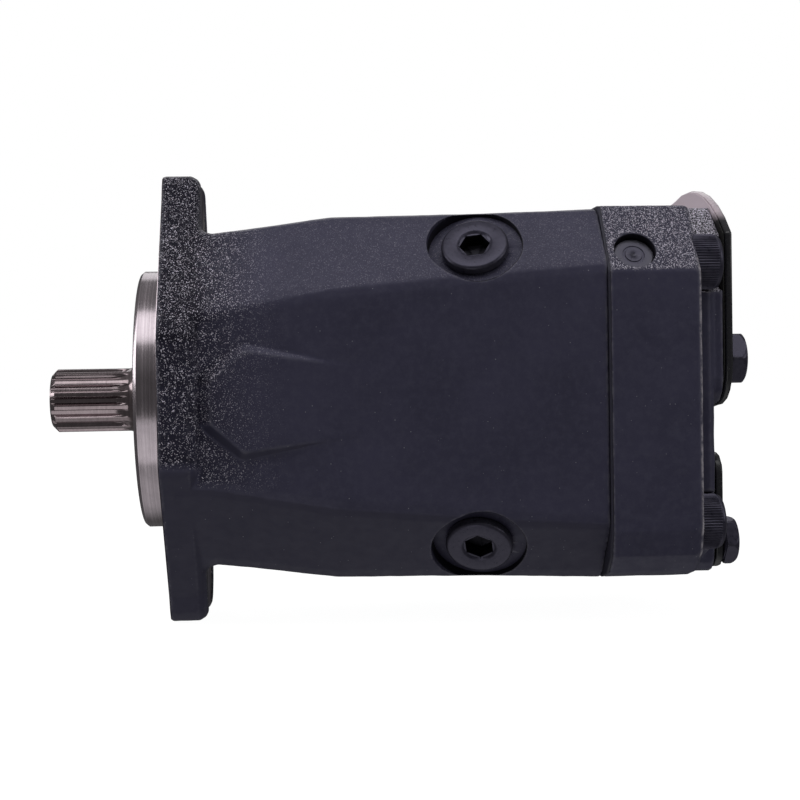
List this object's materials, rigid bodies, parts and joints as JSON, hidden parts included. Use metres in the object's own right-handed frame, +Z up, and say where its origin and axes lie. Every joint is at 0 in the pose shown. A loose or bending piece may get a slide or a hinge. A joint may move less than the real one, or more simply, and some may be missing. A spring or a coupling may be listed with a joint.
{
  "type": "axial piston pump",
  "caption": "Axial piston pump with a two-bolt mounting flange, round spigot, splined drive shaft and covered rear ports.",
  "frame": {"origin": "on the shaft's axis, in the mounting face of the flange", "axes": "+X along the shaft from its splined end to the ports, +Z up through the flange's upper bolt hole, +Y away from the side with the drain plugs"},
  "size_m": [0.2697, 0.124, 0.174],
  "materials": {
    "casting_paint": "satin blue-black paint on cast iron",
    "cover_paint": "semi-gloss black paint on sheet steel",
    "gasket_paper": "dark gasket sheet",
    "black_oxide": "black oxide",
    "turned_steel": "turned and ground",
    "hardened_steel": "ground",
    "bronze": "machined bronze",
    "seal_rubber": "matt"
  },
  "bodies": {
    "case": {"housing": "casting_paint", "port_plate": "casting_paint", "housing_gasket": "gasket_paper", "port_plate_screw_1": "black_oxide", "port_plate_screw_2": "black_oxide", "port_plate_screw_3": "black_oxide", "port_plate_screw_4": "black_oxide", "upper_drain_plug": "black_oxide", "lower_drain_plug": "black_oxide", "gallery_plug": "turned_steel", "suction_cover": "cover_paint", "suction_cover_gasket": "gasket_paper", "suction_cover_bolt_1": "black_oxide", "suction_cover_bolt_2": "black_oxide", "pressure_cover": "cover_paint", "pressure_cover_gasket": "gasket_paper", "pressure_cover_bolt_1": "black_oxide", "pressure_cover_bolt_2": "black_oxide", "shaft_seal": "seal_rubber", "seal_retaining_ring": "black_oxide", "front_bearing_cup": "hardened_steel", "rear_bearing_cup": "hardened_steel", "valve_plate": "bronze", "swashplate": "hardened_steel", "upper_cradle_bearing": "bronze", "lower_cradle_bearing": "bronze", "control_piston": "hardened_steel", "bias_piston": "hardened_steel", "bias_spring": "hardened_steel"},
    "rotor": {"drive_shaft": "turned_steel", "cylinder_block": "turned_steel", "piston_1": "hardened_steel", "piston_2": "hardened_steel", "piston_3": "hardened_steel", "piston_4": "hardened_steel", "piston_5": "hardened_steel", "piston_6": "hardened_steel", "piston_7": "hardened_steel", "piston_8": "hardened_steel", "piston_9": "hardened_steel", "slipper_1": "bronze", "slipper_2": "bronze", "slipper_3": "bronze", "slipper_4": "bronze", "slipper_5": "bronze", "slipper_6": "bronze", "slipper_7": "bronze", "slipper_8": "bronze", "slipper_9": "bronze", "retainer_plate": "turned_steel", "retainer_ball": "hardened_steel", "block_spring": "hardened_steel", "front_bearing_cone": "hardened_steel", "rear_bearing_cone": "hardened_steel"}
  },
  "joints": [
    {"name": "shaft_spin", "type": "hinge", "parent": "case", "child": "rotor", "pos_m": [0, 0, 0], "axis": [1, 0, 0], "continuous": true}
  ]
}
